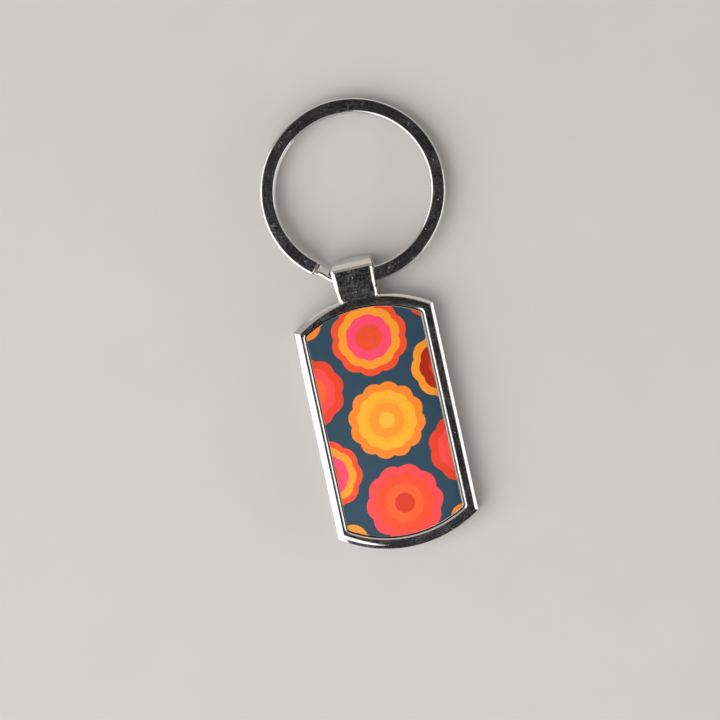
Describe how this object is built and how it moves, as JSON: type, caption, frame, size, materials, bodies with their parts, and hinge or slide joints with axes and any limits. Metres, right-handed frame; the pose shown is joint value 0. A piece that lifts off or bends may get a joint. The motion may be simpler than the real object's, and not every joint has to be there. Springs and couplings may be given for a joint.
{
  "type": "tag keyring",
  "caption": "Keyring tag: a printed plate bonded into a cast metal frame, with a flat-wire split ring that swings in the eye at the frame's top.",
  "frame": {"origin": "middle of the frame's back face, on the surface that the tag lies on", "axes": "+X to the tag's right seen from its front, +Y from the tag towards the ring, +Z out of the tag's front"},
  "size_m": [0.03, 0.0726, 0.0053],
  "materials": {
    "frame_casting": "bright plated zinc casting with faint specks",
    "adhesive_pad": "matt pressure-sensitive foam",
    "insert_plate": "satin, bare at its edge",
    "print_film": "satin print in flat colours on a dark teal ground",
    "split_ring": "bright plated spring steel"
  },
  "bodies": {
    "tag": {"frame_casting": "frame_casting", "adhesive_pad": "adhesive_pad", "insert_plate": "insert_plate", "print_film": "print_film"},
    "ring": {"split_ring": "split_ring"}
  },
  "joints": [
    {"name": "ring_swing", "type": "hinge", "parent": "tag", "child": "ring", "pos_m": [0, 0.02358, 0.0026], "axis": [0.9816, -0.1908, 0], "range_deg": [-114, 143]}
  ]
}
